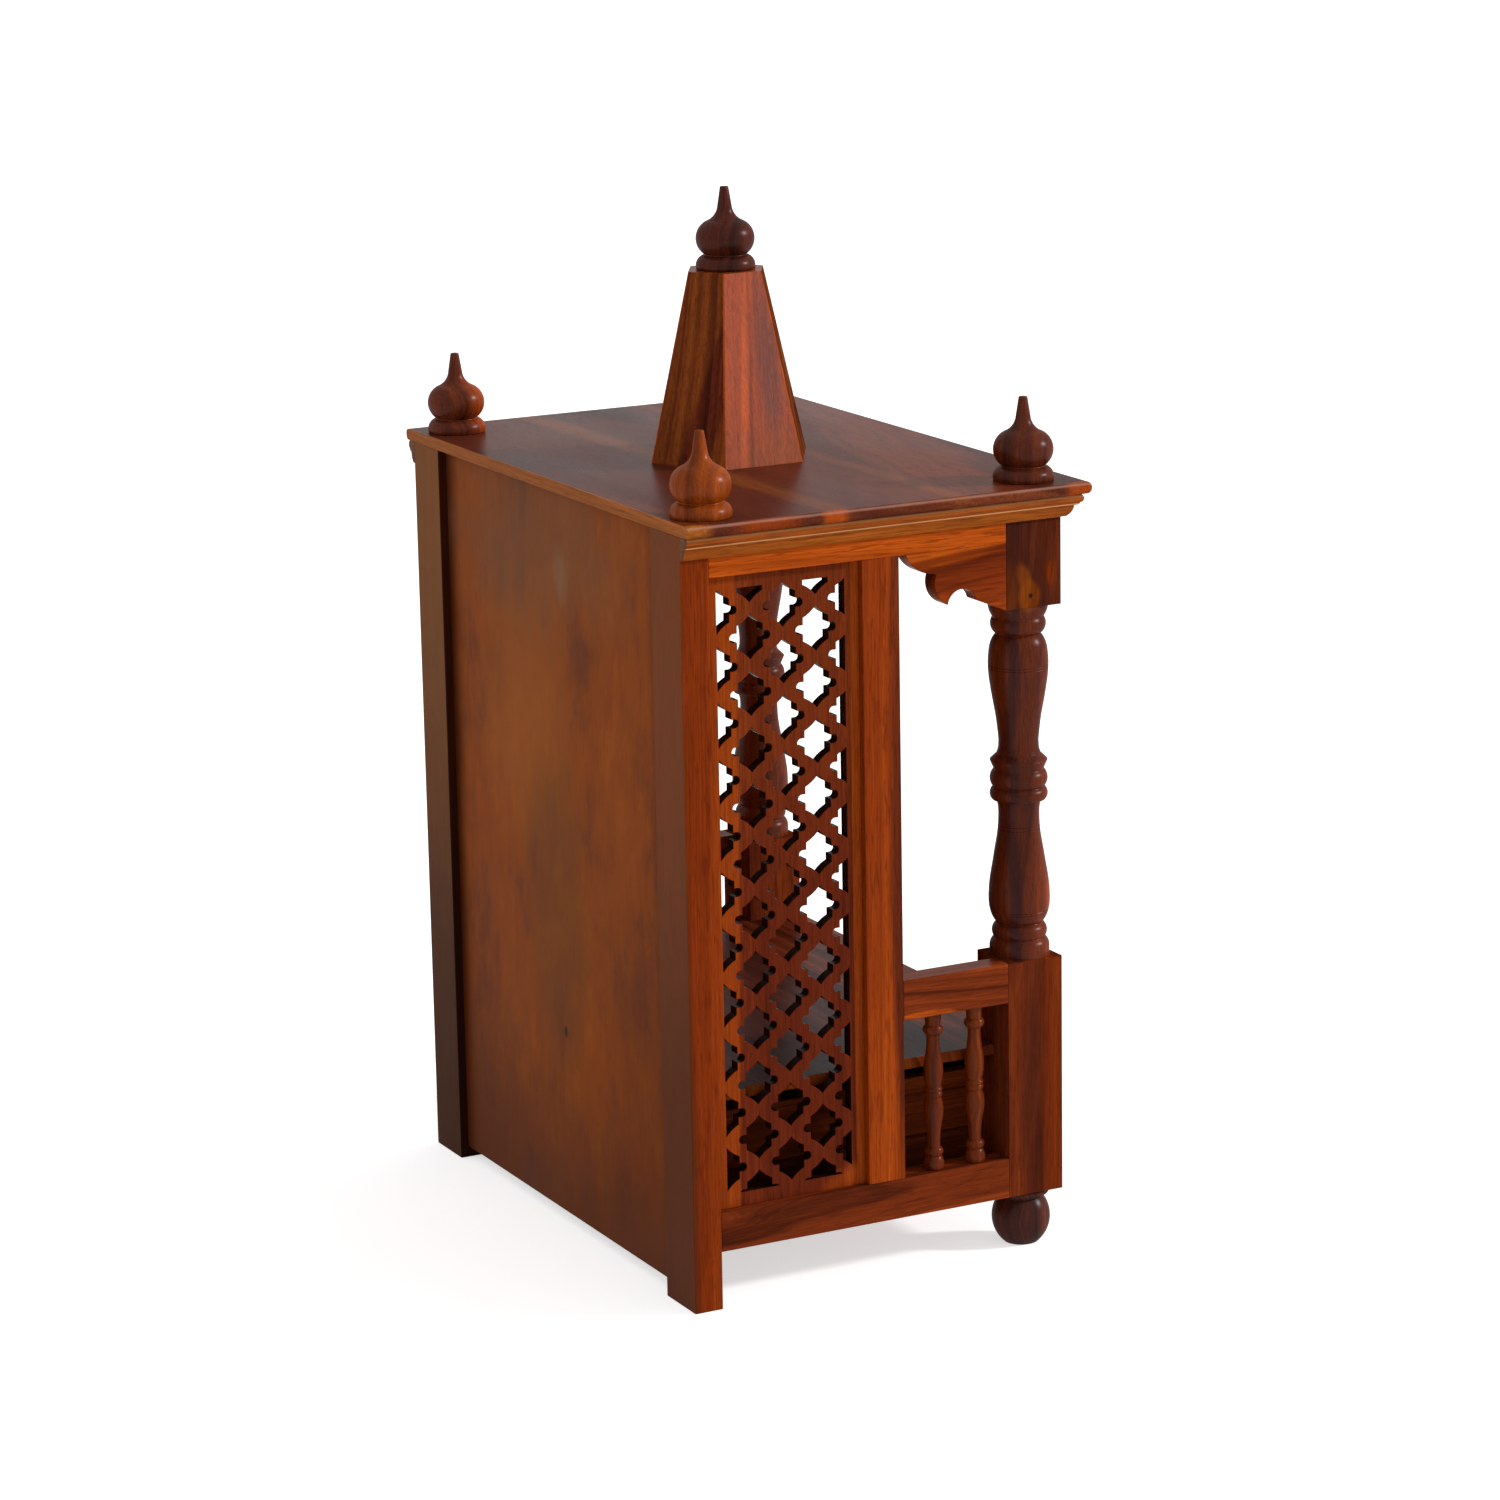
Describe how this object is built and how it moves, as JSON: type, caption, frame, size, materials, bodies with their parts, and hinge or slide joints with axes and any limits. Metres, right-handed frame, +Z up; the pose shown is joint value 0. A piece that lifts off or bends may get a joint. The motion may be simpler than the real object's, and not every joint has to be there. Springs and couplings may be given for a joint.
{
  "type": "pooja mandir",
  "caption": "Small wooden home temple: moulded top with finials and a six-sided spire, turned front posts, pierced side panels, short railings and a platform over a drawer.",
  "frame": {"origin": "on the floor, under the middle of the top board's footprint", "axes": "front faces -Y, up is +Z, +X is the object's right side seen from the front"},
  "size_m": [0.6162, 0.4134, 0.9836],
  "materials": {
    "frame_wood": "glossy lacquer on rosewood",
    "top_wood": "glossy lacquer on dark rosewood",
    "turned_wood": "glossy lacquer on turned rosewood",
    "inner_wood": "satin lacquer",
    "ply": "satin stained plywood"
  },
  "bodies": {
    "cabinet": {"back_panel": "ply", "balusters_left": "turned_wood", "balusters_right": "turned_wood", "bottom_rail_front": "frame_wood", "bottom_rail_left": "frame_wood", "bottom_rail_right": "frame_wood", "bracket_front_left": "frame_wood", "bracket_front_right": "frame_wood", "bracket_side_left": "frame_wood", "bracket_side_right": "frame_wood", "bun_feet": "turned_wood", "finial_front_left": "turned_wood", "finial_front_right": "turned_wood", "finial_rear_left": "turned_wood", "finial_rear_right": "turned_wood", "finial_spire": "turned_wood", "floor_panel": "ply", "frieze_front": "frame_wood", "frieze_left": "frame_wood", "frieze_right": "frame_wood", "front_post_left": "turned_wood", "front_post_right": "turned_wood", "lattice_left": "frame_wood", "lattice_right": "frame_wood", "mid_post_left": "frame_wood", "mid_post_right": "frame_wood", "moulding_front": "top_wood", "moulding_left": "top_wood", "moulding_right": "top_wood", "platform": "top_wood", "rear_post_left": "frame_wood", "rear_post_right": "frame_wood", "runners": "inner_wood", "spire_cap": "top_wood", "spire_walls": "top_wood", "top_board": "top_wood", "upper_rail_left": "frame_wood", "upper_rail_right": "frame_wood"},
    "drawer": {"drawer_back": "inner_wood", "drawer_base": "ply", "drawer_front": "frame_wood", "drawer_knob": "turned_wood", "drawer_side_left": "inner_wood", "drawer_side_right": "inner_wood"}
  },
  "joints": [
    {"name": "drawer_slide", "type": "slide", "parent": "cabinet", "child": "drawer", "axis": [0, -1, 0], "range_m": [0, 0.24]}
  ]
}
